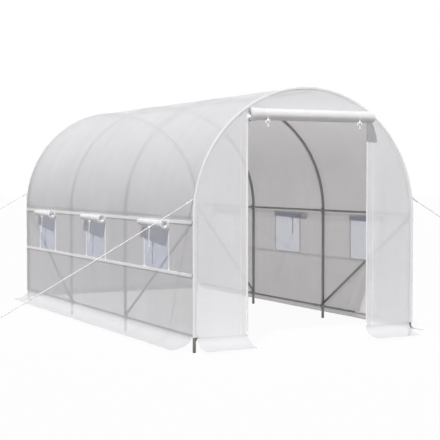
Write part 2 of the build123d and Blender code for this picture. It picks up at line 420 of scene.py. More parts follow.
def capsule(shape, start, end, radius):
    """Rod with rounded ends."""
    a = Vector(start)
    b = Vector(end)
    along = (b - a).normalized() * radius
    path = []
    radii = []
    for turn in steps(0.1, pi / 2, 5):
        path.append(a + along * (1 - cos(turn)))
        radii.append(radius * sin(turn))
    tube(shape, path + [b + a - p for p in reversed(path)], radii + radii[::-1], sides=14)


def smooth_step(value):
    """Eases a value from 0 to 1."""
    t = min(max(value, 0.0), 1.0)
    return t * t * (3 - 2 * t)


# Materials

def feed(tree, node, inputs):
    """Sets a node's inputs to values, or links sockets to them."""
    for key, value in inputs.items():
        if isinstance(value, bpy.types.NodeSocket):
            tree.links.new(value, node.inputs[key])
        else:
            node.inputs[key].default_value = value


def place(tree, kind, inputs=None, **choices):
    """Adds a node; inputs are values or sockets to link."""
    node = tree.nodes.new(kind)
    for key, value in choices.items():
        setattr(node, key, value)
    feed(tree, node, inputs or {})
    return node


def maths(tree, operation, *values):
    """Output of a Math node."""
    return place(tree, "ShaderNodeMath", dict(enumerate(values)), operation=operation).outputs[0]


def group(name, inputs, outputs, fill):
    """Makes a node group once; fill(tree, inputs) gives its outputs by name."""
    tree = bpy.data.node_groups.get(name)
    if tree:
        return tree
    tree = bpy.data.node_groups.new(name, "ShaderNodeTree")
    for label, value in inputs.items():
        kind = "NodeSocketVector" if label == "Vector" else "NodeSocketFloat"
        socket = tree.interface.new_socket(name=label, in_out="INPUT", socket_type=kind)
        if label != "Vector":
            socket.default_value = value
    for label in outputs:
        tree.interface.new_socket(name=label, in_out="OUTPUT", socket_type="NodeSocketFloat")
    start = tree.nodes.new("NodeGroupInput")
    end = tree.nodes.new("NodeGroupOutput")
    for label, socket in fill(tree, start.outputs).items():
        tree.links.new(socket, end.inputs[label])
    return tree


def use(tree, made, **inputs):
    """Places a node group in a material and gives its outputs."""
    return place(tree, "ShaderNodeGroup", inputs, node_tree=made).outputs


def thread_grid():
    """Crossing threads: a mask of the lines and their relief."""
    def fill(tree, given):
        scale = maths(tree, "DIVIDE", 1.0, given["Pitch"])
        spread = place(tree, "ShaderNodeVectorMath",
                       {0: given["Vector"], "Scale": scale}, operation="SCALE").outputs[0]
        parts = place(tree, "ShaderNodeSeparateXYZ", {0: spread}).outputs
        half = maths(tree, "MULTIPLY", given["Thread"], 0.5)
        lines = [ranged(tree, maths(tree, "PINGPONG", part, 0.5), 0.0, half, 1.0, 0.0)
                 for part in (parts[0], parts[1])]
        return {"Lines": maths(tree, "MAXIMUM", *lines), "Relief": maths(tree, "ADD", *lines)}
    return group("Thread grid", {"Vector": None, "Pitch": 0.01, "Thread": 0.3},
                 ("Lines", "Relief"), fill)


def clouding():
    """Slow unevenness of a surface, between two stated levels."""
    def fill(tree, given):
        cloud = place(tree, "ShaderNodeTexNoise",
                      {"Vector": given["Vector"], "Scale": given["Scale"],
                       "Detail": 4.0, "Roughness": 0.55})
        tone = place(tree, "ShaderNodeMapRange",
                     {"Value": cloud.outputs[0], "From Min": 0.3, "From Max": 0.7,
                      "To Min": given["Low"], "To Max": given["High"]})
        return {"Tone": tone.outputs[0]}
    return group("Clouding", {"Vector": None, "Scale": 4.0, "Low": 0.9, "High": 1.0},
                 ("Tone",), fill)


def creases():
    """Soft folds drawn out along one direction of the cloth."""
    def fill(tree, given):
        parts = place(tree, "ShaderNodeSeparateXYZ", {0: given["Vector"]}).outputs
        drawn = place(tree, "ShaderNodeCombineXYZ",
                      {0: maths(tree, "MULTIPLY", parts[0], given["Along"]),
                       1: maths(tree, "MULTIPLY", parts[1], given["Across"]),
                       2: parts[2]}).outputs[0]
        fold = place(tree, "ShaderNodeTexNoise",
                     {"Vector": drawn, "Scale": 1.0, "Detail": 3.0, "Roughness": 0.5,
                      "Distortion": 0.6})
        return {"Relief": fold.outputs[0]}
    return group("Creases", {"Vector": None, "Along": 3.0, "Across": 3.0}, ("Relief",), fill)


def stitch_rows():
    """Two rows of stitches along a band, a stated distance off its middle."""
    def fill(tree, given):
        parts = place(tree, "ShaderNodeSeparateXYZ", {0: given["Vector"]}).outputs
        beat = maths(tree, "PINGPONG", maths(tree, "DIVIDE", parts[0], given["Pitch"]), 0.5)
        dash = maths(tree, "LESS_THAN", beat, 0.34)
        off = maths(tree, "ABSOLUTE", maths(tree, "SUBTRACT",
                    maths(tree, "ABSOLUTE", parts[1]), given["Offset"]))
        row = maths(tree, "LESS_THAN", off, given["Thread"])
        return {"Mask": maths(tree, "MULTIPLY", dash, row)}
    return group("Stitch rows", {"Vector": None, "Pitch": 0.005, "Offset": 0.008, "Thread": 0.0007},
                 ("Mask",), fill)


def steel_grain():
    """Spangle and drawn grain of galvanised steel."""
    def fill(tree, given):
        flakes = place(tree, "ShaderNodeTexVoronoi",
                       {"Vector": given["Vector"], "Scale": given["Scale"]})
        flake = place(tree, "ShaderNodeSeparateXYZ", {0: flakes.outputs["Color"]}).outputs[0]
        dull = place(tree, "ShaderNodeTexNoise",
                     {"Vector": given["Vector"], "Scale": 9.0, "Detail": 5.0})
        tone = maths(tree, "ADD", maths(tree, "MULTIPLY", flake, 0.16),
                     maths(tree, "MULTIPLY", dull.outputs[0], 0.4))
        return {"Tone": maths(tree, "ADD", tone, 0.68),
                "Roughness": maths(tree, "ADD", maths(tree, "MULTIPLY", tone, 0.4), 0.28)}
    return group("Steel grain", {"Vector": None, "Scale": 160.0}, ("Tone", "Roughness"), fill)


def bare_tree(owner):
    """Emptied node tree of a material or a world."""
    owner.use_nodes = True
    owner.node_tree.nodes.clear()
    return owner.node_tree


def new_finish(name):
    """Material with one shader: also gives its tree, shader, cloth and object coordinates."""
    finish = bpy.data.materials.new(name)
    tree = bare_tree(finish)
    shader = place(tree, "ShaderNodeBsdfPrincipled")
    place(tree, "ShaderNodeOutputMaterial", {"Surface": shader.outputs[0]})
    coordinates = place(tree, "ShaderNodeTexCoord").outputs
    return finish, tree, shader, coordinates["UV"], coordinates["Object"]


def tinted(tree, colour, tone):
    """A colour made lighter or darker by a tone."""
    mix = place(tree, "ShaderNodeVectorMath", {0: tuple(colour), "Scale": tone}, operation="SCALE")
    return mix.outputs[0]


def relief(tree, shader, height, distance):
    """Gives the shader a bump from a height."""
    bump = place(tree, "ShaderNodeBump", {"Height": height, "Distance": distance})
    feed(tree, shader, {"Normal": bump.outputs[0]})


def soft_through(tree, shader, colour, share):
    """Mixes in the share of light that passes softly through cloth."""
    glow = place(tree, "ShaderNodeBsdfTranslucent", {"Color": (*colour, 1.0)})
    mix = place(tree, "ShaderNodeMixShader", {0: share, 1: shader.outputs[0], 2: glow.outputs[0]})
    return mix.outputs[0]


def see_through(tree, body, closed):
    """Leaves the surface open where it isn't closed."""
    clear = place(tree, "ShaderNodeBsdfTransparent")
    mix = place(tree, "ShaderNodeMixShader", {0: closed, 1: clear.outputs[0], 2: body})
    return mix.outputs[0]


def surface(tree, result):
    """Makes a shader the surface of its material."""
    feed(tree, next(n for n in tree.nodes if n.type == "OUTPUT_MATERIAL"), {"Surface": result})


def ranged(tree, value, start, end, first, last):
    """Eases a value from one range into another."""
    return place(tree, "ShaderNodeMapRange",
                 {"Value": value, "From Min": start, "From Max": end, "To Min": first, "To Max": last},
                 interpolation_type="SMOOTHSTEP").outputs[0]


def arch_hem(tree, solid):
    """Mask of the doubled edge of an end film, along the arch and the legs."""
    parts = place(tree, "ShaderNodeSeparateXYZ", {0: solid}).outputs
    over = maths(tree, "MAXIMUM", maths(tree, "SUBTRACT", parts[2], SPRING), 0.0)
    reach = maths(tree, "SQRT", maths(tree, "ADD", maths(tree, "MULTIPLY", parts[0], parts[0]),
                                      maths(tree, "MULTIPLY", over, over)))
    return ranged(tree, reach, HOOP_R - 2.8 * TUBE_R, HOOP_R - 1.0 * TUBE_R, 0.0, 1.0)


def film_finish(name, colour, cover, along, across, height_light=(1.0, 1.0), streak=0.0, milk=0.0, hemmed=False):
    """Woven translucent film, with its threads, clouding, streaks, soft creases and a painted light that
    grows with height.
    """
    settings = bpy.context.scene.tunnel_film
    finish, tree, shader, cloth, solid = new_finish(name)
    threads = use(tree, thread_grid(), Vector=cloth, Pitch=settings.weave, Thread=0.35)
    tone = use(tree, clouding(), Vector=solid, Scale=1.6, Low=0.965, High=1.0)["Tone"]
    fold = use(tree, creases(), Vector=cloth, Along=along, Across=across)["Relief"]
    rise = place(tree, "ShaderNodeSeparateXYZ", {0: solid}).outputs[2]
    # Painted light: the base colour is scaled with height, darker low on the walls and lighter on the roof.
    height_lit = ranged(tree, rise, SPRING * 0.7, SPRING * 1.8, *height_light)
    drawn = use(tree, creases(), Vector=cloth, Along=9.0, Across=0.5)["Relief"]
    streaks = ranged(tree, drawn, 0.32, 0.68, 1.0 - streak, 1.0 + streak)
    shade = maths(tree, "MULTIPLY", maths(tree, "MULTIPLY", tone, height_lit), streaks)
    feed(tree, shader, {"Base Color": tinted(tree, colour, shade), "Roughness": 0.42,
                        "Specular IOR Level": 0.35})
    milky = use(tree, clouding(), Vector=solid, Scale=2.3, Low=cover - 0.03, High=cover + 0.02)["Tone"]
    milky = maths(tree, "ADD", milky, ranged(tree, rise, SPRING, SPRING * 1.8, 0.0, milk))
    closed = maths(tree, "ADD", milky, maths(tree, "MULTIPLY", threads["Lines"], 0.10))
    if hemmed:
        closed = maths(tree, "MAXIMUM", closed, maths(tree, "MULTIPLY", arch_hem(tree, solid), 0.97))
    height = maths(tree, "ADD", maths(tree, "MULTIPLY", threads["Relief"], 0.05), fold)
    relief(tree, shader, height, 0.006)
    body = soft_through(tree, shader, settings.glow, settings.passed)
    surface(tree, see_through(tree, body, closed))
    return finish


def net_finish():
    """Fine window net: threads with open holes between them."""
    settings = bpy.context.scene.tunnel_film
    finish, tree, shader, cloth, solid = new_finish("window net")
    threads = use(tree, thread_grid(), Vector=cloth, Pitch=settings.net_pitch, Thread=0.8)
    tone = use(tree, clouding(), Vector=solid, Scale=9.0, Low=0.94, High=1.0)["Tone"]
    feed(tree, shader, {"Base Color": tinted(tree, settings.net_colour, tone), "Roughness": 0.6})
    relief(tree, shader, threads["Relief"], 0.0004)
    body = soft_through(tree, shader, settings.net_colour, 0.12)
    closed = place(tree, "ShaderNodeMapRange",
                   {"Value": threads["Lines"], "To Min": 0.31, "To Max": 0.87}).outputs[0]
    surface(tree, see_through(tree, body, closed))
    return finish


def webbing_finish(name, colour, offset, front=1.0, back=1.0):
    """White webbing with a fine weave and two rows of stitches, closed as stated from front and back."""
    finish, tree, shader, cloth, solid = new_finish(name)
    threads = use(tree, thread_grid(), Vector=cloth, Pitch=0.0022, Thread=0.8)
    rows = use(tree, stitch_rows(), Vector=cloth, Pitch=0.006, Offset=offset, Thread=0.0009)["Mask"]
    tone = use(tree, clouding(), Vector=solid, Scale=14.0, Low=0.95, High=1.0)["Tone"]
    dimmed = maths(tree, "SUBTRACT", tone, maths(tree, "MULTIPLY", rows, 0.16))
    feed(tree, shader, {"Base Color": tinted(tree, colour, dimmed), "Roughness": 0.62})
    height = maths(tree, "SUBTRACT", threads["Relief"], maths(tree, "MULTIPLY", rows, 2.0))
    relief(tree, shader, height, 0.0001)
    body = soft_through(tree, shader, colour, 0.08)
    if front < 1:
        behind = place(tree, "ShaderNodeNewGeometry").outputs["Backfacing"]
        closed = maths(tree, "SUBTRACT", front, maths(tree, "MULTIPLY", behind, front - back))
        body = see_through(tree, body, closed)
    surface(tree, body)
    return finish


def rolled_finish(name, colour):
    """Rolled film, milky white where many layers lie on each other."""
    settings = bpy.context.scene.tunnel_film
    finish, tree, shader, cloth, solid = new_finish(name)
    threads = use(tree, thread_grid(), Vector=cloth, Pitch=settings.weave, Thread=0.35)
    tone = use(tree, clouding(), Vector=solid, Scale=7.0, Low=0.94, High=1.0)["Tone"]
    fold = use(tree, creases(), Vector=cloth, Along=5.0, Across=22.0)["Relief"]
    feed(tree, shader, {"Base Color": tinted(tree, colour, tone), "Roughness": 0.4})
    height = maths(tree, "ADD", maths(tree, "MULTIPLY", threads["Relief"], 0.05), fold)
    relief(tree, shader, height, 0.004)
    surface(tree, soft_through(tree, shader, colour, 0.2))
    return finish


def steel_finish(name, colour, metallic):
    """Dull galvanised steel."""
    finish, tree, shader, _, solid = new_finish(name)
    grain = use(tree, steel_grain(), Vector=solid, Scale=160.0)
    feed(tree, shader, {"Base Color": tinted(tree, colour, grain["Tone"]),
                        "Roughness": grain["Roughness"], "Metallic": metallic})
    return finish


def rope_finish(colour):
    """Twisted white rope."""
    finish, tree, shader, _, solid = new_finish("guy rope")
    tone = use(tree, clouding(), Vector=solid, Scale=60.0, Low=0.88, High=1.0)["Tone"]
    fold = use(tree, creases(), Vector=solid, Along=900.0, Across=900.0)["Relief"]
    feed(tree, shader, {"Base Color": tinted(tree, colour, tone), "Roughness": 0.7})
    relief(tree, shader, fold, 0.0002)
    return finish


# Shapes of the cover

WALL = SPRING - HEM
SECTION = 2 * WALL + pi * FILM_R

# Distances over which sags and bulges ease in from an edge, in metres
HEM_EASE = 0.2
ROOF_EASE = 0.35
ARCH_EASE = 0.25
END_HEM_EASE = 0.15
DOOR_EASE = 0.12


def section_at(run):
    """Place and outward direction on the cover's section, counted from the left hem."""
    if run <= WALL:
        return Vector((-FILM_R, 0, HEM + run)), -RIGHT
    if run >= SECTION - WALL:
        return Vector((FILM_R, 0, HEM + SECTION - run)), RIGHT
    turn = (run - WALL) / FILM_R
    out = Vector((-cos(turn), 0, sin(turn)))
    return out * FILM_R + UP * SPRING, out


def cover_dip(run, y):
    """How far the cover dips inwards between hoops, with its soft ripples."""
    settings = bpy.context.scene.tunnel_film
    place_in_bay = (min(max(y, HOOPS[0]), HOOPS[3]) - HOOPS[0]) / BAY % 1.0
    slack = sin(pi * place_in_bay)
    up = min(run, SECTION - run)
    roof = smooth_step((up - WALL) / ROOF_EASE)
    dip = settings.wall_sag * min(up / HEM_EASE, 1.0) + (settings.roof_sag - settings.wall_sag) * roof
    soft = noise.noise(Vector((y * 1.9, run * 1.5, 0.3)))
    fine = noise.noise(Vector((y * 6.5, run * 3.2, 4.1)))
    ripple = (0.0010 + 0.0024 * roof) * soft + (0.0004 + 0.0008 * roof) * fine
    return (dip + ripple) * sqrt(max(slack, 0.0)) * (0.45 + 0.55 * slack)


def cover_spot(run, y, proud=0.0):
    """Place on the dipped cover."""
    spot, out = section_at(run)
    spot = spot - out * (cover_dip(run, y) - proud)
    spot.y = y
    return spot


def end_bulge(x, z, side):
    """Small in-and-out of an end wall, nothing along its arch and hem."""
    reach = sqrt(x * x + max(z - SPRING, 0.0) ** 2)
    edge = smooth_step((HOOP_R - reach) / ARCH_EASE) * smooth_step((z - HEM) / END_HEM_EASE)
    if side < 0:
        past = max(abs(x) - DOOR, 0.0)
        over = max(z - DOOR_TOP, 0.0)
        edge *= smooth_step(max(past, over) / DOOR_EASE) * 0.7 + 0.3
    drape = noise.noise(Vector((x * 5.5, z * 1.1, 2.0 + side)))
    soft = noise.noise(Vector((x * 1.6, z * 1.3, 9.0 + side)))
    return edge * (0.004 * drape + 0.006 * soft)


def roll_rows(core, outer, turns, tail, half, pinches):
    """Spiral of rolled film: rows of (across, up, along) and their cloth places.

    Across points towards the wall that carries the roll, where the tail runs up.
    """
    pinch_depth = 0.07
    pinch_width = 0.016
    per_turn = 26
    around = int(turns * per_turn)
    section = []
    run = 0.0
    for i in range(around + 1):
        turn = -2 * pi * turns * (1 - i / around)
        radius = core + (outer - core) * i / around
        if i:
            run += 2 * pi * turns / around * radius
        section.append((radius * cos(turn), radius * sin(turn), run, radius))
    for k in range(1, 4):
        section.append((outer, tail * k / 3, run + tail * k / 3, outer))
    rows = []
    cloth = []
    for along in steps(-half, half, 64):
        pinch = 1 - sum(pinch_depth * exp(-((along - p) / pinch_width) ** 2) for p in pinches)
        flare = 1 + 0.05 * smooth_step((abs(along) / half - 0.75) / 0.25)
        row = []
        places = []
        for across, up, length, radius in section:
            bend = 0.02 * noise.noise(Vector((along * 5.0, radius * 60, core * 90)))
            back = 0.002 * noise.noise(Vector((length * 9.0, along > 0, 6.0)))
            grow = pinch * flare + bend
            row.append((across * grow, up * grow, along * (1 - back / half)))
            places.append((along + half, length))
        rows.append(row)
        cloth.append(places)
    return rows, cloth, section[-1][2]


def roll_end(shape, placed, core, outer, half, way):
    """Packed layers at one end of a roll, round its hollow."""
    sides = 40
    layers = 7
    face = 0.0035
    groove = 0.0018
    profile = []
    for k in range(2 * layers + 1):
        share = k / (2 * layers)
        profile.append((outer + (core - outer) * share, face - groove * (k % 2)))
    profile += [(core * 0.97, 0.006), (core * 0.95, 0.012), (core * 0.9, 0.0135), (core * 0.3, 0.0145)]
    rows = []
    for radius, inset in profile:
        ring = [2 * pi * k / sides for k in range(sides)]
        rows.append([placed(radius * cos(t), radius * sin(t), way * (half - inset)) for t in ring])
    first = shape.grid(rows, ring=True)
    shape.cap(first + (len(rows) - 1) * sides, sides)


def strap_ring(shape, centre, axis, out, radius, settings, knot_turn, proud):
    """Strap round a roll that draws together at a knot; gives the knot's place."""
    gap = 0.6
    spots = []
    outs = []
    for turn in steps(knot_turn + gap, knot_turn + 2 * pi - gap, 36):
        direction = out * cos(turn) + UP * sin(turn)
        spots.append(centre + direction * radius)
        outs.append(direction)
    knot_way = out * cos(knot_turn) + UP * sin(knot_turn)
    knot = centre + knot_way * (radius + proud)
    spots = [knot] + spots + [knot]
    outs = [outs[0]] + outs + [outs[-1]]
    ribbon(shape, spots, outs, axis, settings.strap, STRAP_THICK)
    return knot


def bow(shape, knot, axis, out, size, width):
    """Knot with two flat loops."""
    for way in (-1, 1):
        spots = []
        outs = []
        for t in steps(0.0, 1.0, 16):
            droop = UP * (-0.35 * size * sin(pi * t) ** 2)
            loop = axis * (way * size * sin(pi * t)) + out * (0.4 * size * sin(2 * pi * t))
            spots.append(knot + loop + droop)
            outs.append((out * cos(pi * t) + axis * (way * sin(pi * t))).normalized())
        ribbon(shape, spots, outs, UP, width, STRAP_THICK)
    lifted = knot + out * 0.003
    capsule(shape, lifted - axis * (0.4 * size), lifted + axis * (0.4 * size), 0.5 * size)


def strap_tail(shape, knot, axis, out, width, hang, swing):
    """Free end of a strap, hanging from its knot to a toggle; gives the toggle's place."""
    spots = [knot + out * (0.004 * sin(t * 2.6)) + axis * (swing * t * t) - UP * (hang * t)
             for t in steps(0.0, 1.0, 14)]
    ribbon(shape, spots, out, axis, width, STRAP_THICK)
    end = spots[-1]
    ribbon(shape, [end + out * 0.003, end - UP * 0.004 + out * 0.003, end - UP * 0.0042],
           [out, -UP, -out], axis, width, STRAP_THICK)
    return end


def tie(shape, hub, axis, out, radius, settings, turn, proud, size, width, hang, swing):
    """Strap round a roll with its bow, hanging end and toggle; gives the toggle's place.

    Without a stated hang, the end comes down to where the frame's window ties end.
    """
    knot = strap_ring(shape, hub, axis, out, radius, settings, turn, proud)
    bow(shape, knot, axis, out, size, width)
    end = strap_tail(shape, knot, axis, out, settings.strap, hang or knot.z - STRAP_END, swing)
    capsule(shape, end - axis * TOGGLE_HALF, end + axis * TOGGLE_HALF, TOGGLE_R)
    return end


def bolt(shape, seat, way):
    """Washer and hexagon head standing on a seat."""
    side = way.orthogonal().normalized()
    up = way.cross(side)
    for sides, outline in ((20, ((0.0062, 0.0), (0.0062, 0.001), (0.0058, 0.0013), (0.003, 0.0013))),
                           (6, ((0.0046, 0.001), (0.0046, 0.0042), (0.0039, 0.0049), (0.002, 0.0049)))):
        rows = [ring_at(seat + way * height, side, up, radius, sides) for radius, height in outline]
        first = shape.grid(rows, ring=True)
        shape.cap(first + (len(rows) - 1) * sides, sides)


def whipping(shape, start, along, diameter, length):
    """Close turns of rope that bind a knot."""
    side = along.orthogonal().normalized()
    up = along.cross(side)
    turns = 5
    path = []
    for t in steps(0.0, 1.0, turns * 12):
        turn = 2 * pi * turns * t
        path.append(start + along * (length * t) + (side * cos(turn) + up * sin(turn)) * diameter * 0.72)
    tube(shape, path, diameter * 0.42, sides=6)


class TunnelOperator:
    """What the building operators share."""

    bl_options = {"REGISTER", "UNDO"}


class POLYTUNNEL_OT_frame(TunnelOperator, bpy.types.Operator):
    """Round steel hoops, rails and braces"""

    bl_idname = "polytunnel.frame"
    bl_label = "Hoops, rails and braces"

    def execute(self, context):
        settings = context.scene.tunnel_frame
        # The tube colour carries painted shade as well as the steel's grey.
        steel = steel_finish("galvanised tube", settings.colour, metallic=0.55)
        hoops = Shape()
        # The seam between leg and arch is a shallow groove
        groove = 0.0009
        leg = [0.0, 0.3, 0.6, 0.9] + [SPRING + off for off in (-0.006, -0.004, -0.001, 0.001)]
        for y in HOOPS:
            path = [(-HOOP_R, y, z) for z in leg]
            for turn in steps(0, pi, 72)[1:-1]:
                path.append((-HOOP_R * cos(turn), y, SPRING + HOOP_R * sin(turn)))
            path += [(HOOP_R, y, z) for z in reversed(leg)]
            radii = [TUBE_R - (groove if SPRING - 0.005 < spot[Z] < SPRING else 0.0) for spot in path]
            tube(hoops, path, radii, settings.sides, settings.wall)
        hoops.piece("hoops", steel, ARCHES + ("left_posts", "right_posts"))

        rails = Shape()
        past_hoop = 0.06
        swell = 0.0011
        nodes = ("ridge_rail", "left_mid_rail", "right_mid_rail", "left_ground_rail", "right_ground_rail")
        for rail in nodes:
            x = middle(rail, X)
            z = middle(rail, Z)
            path = [(x, -RAIL_END, z)]
            radii = [RAIL_R]
            for y in HOOPS[1:-1]:
                start = y + past_hoop
                end = start + settings.joint
                for spot, more in ((start, 0), (start + 0.001, swell), (end - 0.012, swell), (end, 0)):
                    path.append((x, spot, z))
                    radii.append(RAIL_R + more)
            path.append((x, RAIL_END, z))
            radii.append(RAIL_R)
            tube(rails, path, radii, settings.sides, settings.wall)
        rails.piece("rails", steel, nodes)

        braces = Shape()
        # The axes of brace and hoop meet this far inside the braces' own box
        inside = 0.003
        gap = 0.0004
        for side in (-1, 1):
            for y_end, y_foot in ((HOOPS[0], HOOPS[1]), (HOOPS[3], HOOPS[2])):
                top = Vector((side * HOOP_R, y_end, high("left_braces", Z) - inside))
                foot = Vector((side * HOOP_R, y_foot, low("left_braces", Z) + inside))
                along = (foot - top).normalized()
                trim = TUBE_R / abs(along.y) + gap
                path = [top + along * trim, top + along * (trim + 0.5), foot - along * (trim + 0.3),
                        foot - along * trim]
                tube(braces, path, RAIL_R, settings.sides, settings.wall)
        braces.piece("braces", steel, ("left_braces", "right_braces"))

        bolts = Shape()
        # Where the ears of a clip take their bolts, from the rail's axis
        ear = 0.0193
        face = RAIL_R - 0.0023
        for y in HOOPS:
            for rail in nodes:
                hub = Vector((middle(rail, X), y, middle(rail, Z)))
                out, span = (UP, RIGHT) if rail == "ridge_rail" else (RIGHT if hub.x > 0 else -RIGHT, UP)
                for way in (-1, 1):
                    bolt(bolts, hub + out * face + span * (way * ear), -out)
        # Bolts and clips take lightened copies of the tube colour, with its painted shade.
        bright = steel_finish("bolt steel", [c * 1.6 for c in settings.colour], metallic=0.8)
        bolts.piece("clip_bolts", bright, smooth=False)
        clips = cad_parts["rail_clips"].data.materials
        clips.clear()
        clips.append(steel_finish("pressed steel", [c * 1.25 for c in settings.colour], metallic=0.6))
        return {"FINISHED"}


class POLYTUNNEL_OT_cover(TunnelOperator, bpy.types.Operator):
    """One film over the roof and both side walls"""

    bl_idname = "polytunnel.cover"
    bl_label = "Cover film"

    def execute(self, context):
        settings = context.scene.tunnel_film
        left = steps(0, SILL - HEM, 18) + steps(SILL - HEM, HEAD - HEM, 14)[1:]
        left += steps(HEAD - HEM, WALL, 3)[1:]
        runs = left + steps(WALL, SECTION - WALL, 96)[1:-1] + [SECTION - r for r in reversed(left)]
        stations = [-END_FILM, HOOPS[0]]
        for centre in BAYS:
            stations += steps(centre - BAY / 2, centre - WINDOW, 15)[1:]
            stations += steps(centre - WINDOW, centre + WINDOW, 16)[1:]
            stations += steps(centre + WINDOW, centre + BAY / 2, 15)[1:]
        stations.append(END_FILM)
        rows = [[cover_spot(run, y) for y in stations] for run in runs]
        cloth = [[(y, run) for y in stations] for run in runs]

        def keep(i, j):
            run = (runs[i] + runs[i + 1]) / 2
            y = (stations[j] + stations[j + 1]) / 2
            up = HEM + min(run, SECTION - run)
            return not (SILL < up < HEAD and any(abs(y - b) < WINDOW for b in BAYS))

        cover = Shape()
        cover.grid(rows, cloth, keep=keep)
        panes = ("left_side_wall", "right_side_wall", "roof_left_low", "roof_left_mid", "roof_left_top",
                 "roof_right_low", "roof_right_mid", "roof_right_top")
        # The cover film takes the painted height light from the settings.
        film = film_finish("cover film", settings.colour, settings.cover, along=2.2, across=1.3,
                           height_light=settings.height_light, streak=settings.streak, milk=settings.milk)
        made = cover.piece("cover_film", film, panes)
        return {"FINISHED"}


class POLYTUNNEL_OT_ends(TunnelOperator, bpy.types.Operator):
    """Front film round the doorway, and the closed back film"""

    bl_idname = "polytunnel.ends"
    bl_label = "End films"

    def execute(self, context):
        settings = context.scene.tunnel_film
        reach = HOOP_R + 0.012
        film = film_finish("end film", settings.end_colour, settings.end_cover, along=4.5, across=1.4,
                           streak=settings.streak * 0.4, hemmed=True)

        def wall(shape, side, start, end, foot, columns, levels):
            cloth = []
            for x in steps(start, end, columns):
                top = SPRING + sqrt(max(reach * reach - x * x, 0.0))
                cloth.append([(x, z) for z in steps(foot, top, levels)])
            shape.grid([[(x, side * END_FILM - end_bulge(x, z, side), z) for x, z in column]
                        for column in cloth], cloth)

        front = Shape()
        wall(front, -1, -reach, -DOOR, HEM, 22, 60)
        wall(front, -1, -DOOR, DOOR, DOOR_TOP, 44, 10)
        wall(front, -1, DOOR, reach, HEM, 22, 60)
        made = front.piece("front_film", film,
                           ("front_left_panel", "front_right_panel", "front_gable_panel"))
        back = Shape()
        wall(back, 1, -reach, reach, HEM, 80, 60)
        made = back.piece("back_film", film, ("back_panel",))
        return {"FINISHED"}


class POLYTUNNEL_OT_skirts(TunnelOperator, bpy.types.Operator):
    """Loose skirts that flare out on the ground"""

    bl_idname = "polytunnel.skirts"
    bl_label = "Skirts"

    def execute(self, context):
        settings = context.scene.tunnel_film
        colour = [c * 0.79 for c in settings.end_colour]
        film = film_finish("skirt film", colour, settings.skirt_cover, along=6.0, across=2.0)
        corner = 0.03
        spacing = 0.02
        down = 14
        oval = pi / 2 * sqrt((SKIRT_REACH ** 2 + SKIRT_DROP ** 2) / 2)

        def skirt(shape, along, out, wall, start, end, seed):
            stations = steps(start, end, int((end - start) / spacing))
            stations[1:1] = [start + corner * share for share in (0.1, 0.25, 0.5)]
            stations[-1:-1] = [end - corner * share for share in (0.5, 0.25, 0.1)]
            rows = []
            cloth = []
            for p in stations:
                near = min(p - start, end - p)
                reach = 1.0
                if near < corner:
                    reach -= (corner - sqrt(corner ** 2 - (corner - near) ** 2)) / SKIRT_REACH
                last = acos(1 - reach)
                row = []
                places = []
                for turn in steps(0, last, down):
                    share = turn / (pi / 2)
                    wave = 0.004 * noise.noise(Vector((p * 2.3, seed, share * 0.5)))
                    fine = 0.001 * noise.noise(Vector((p * 8.0, seed + 5.0, share)))
                    lift = share ** 2 * (wave + fine)
                    push = share ** 2 * (wave - fine)
                    far = SKIRT_REACH * (1 - cos(turn)) + push
                    height = HEM - SKIRT_DROP * sin(turn) + lift
                    row.append(along * p + out * (wall + far) + UP * height)
                    places.append((p, oval * share))
                rows.append(row)
                cloth.append(places)
            shape.grid(rows, cloth)

        deep = high("left_skirt", Y)
        wide = high("back_skirt", X)
        for name, node, along, out, wall, runs in (
                ("skirt_left", "left_skirt", AHEAD, -RIGHT, FILM_R, ((-deep, deep, 2.0),)),
                ("skirt_right", "right_skirt", AHEAD, RIGHT, FILM_R, ((-deep, deep, 4.0),)),
                ("skirt_back", "back_skirt", RIGHT, AHEAD, END_FILM, ((-wide, wide, 11.0),)),
                ("skirt_front", "front_skirts", RIGHT, -AHEAD, END_FILM,
                 ((-wide, -DOOR, 17.0), (DOOR, wide, 23.0)))):
            shape = Shape()
            for start, end, seed in runs:
                skirt(shape, along, out, wall, start, end, seed)
            made = shape.piece(name, film, (node,))
            length = sum(end - start for start, end, seed in runs)
        return {"FINISHED"}


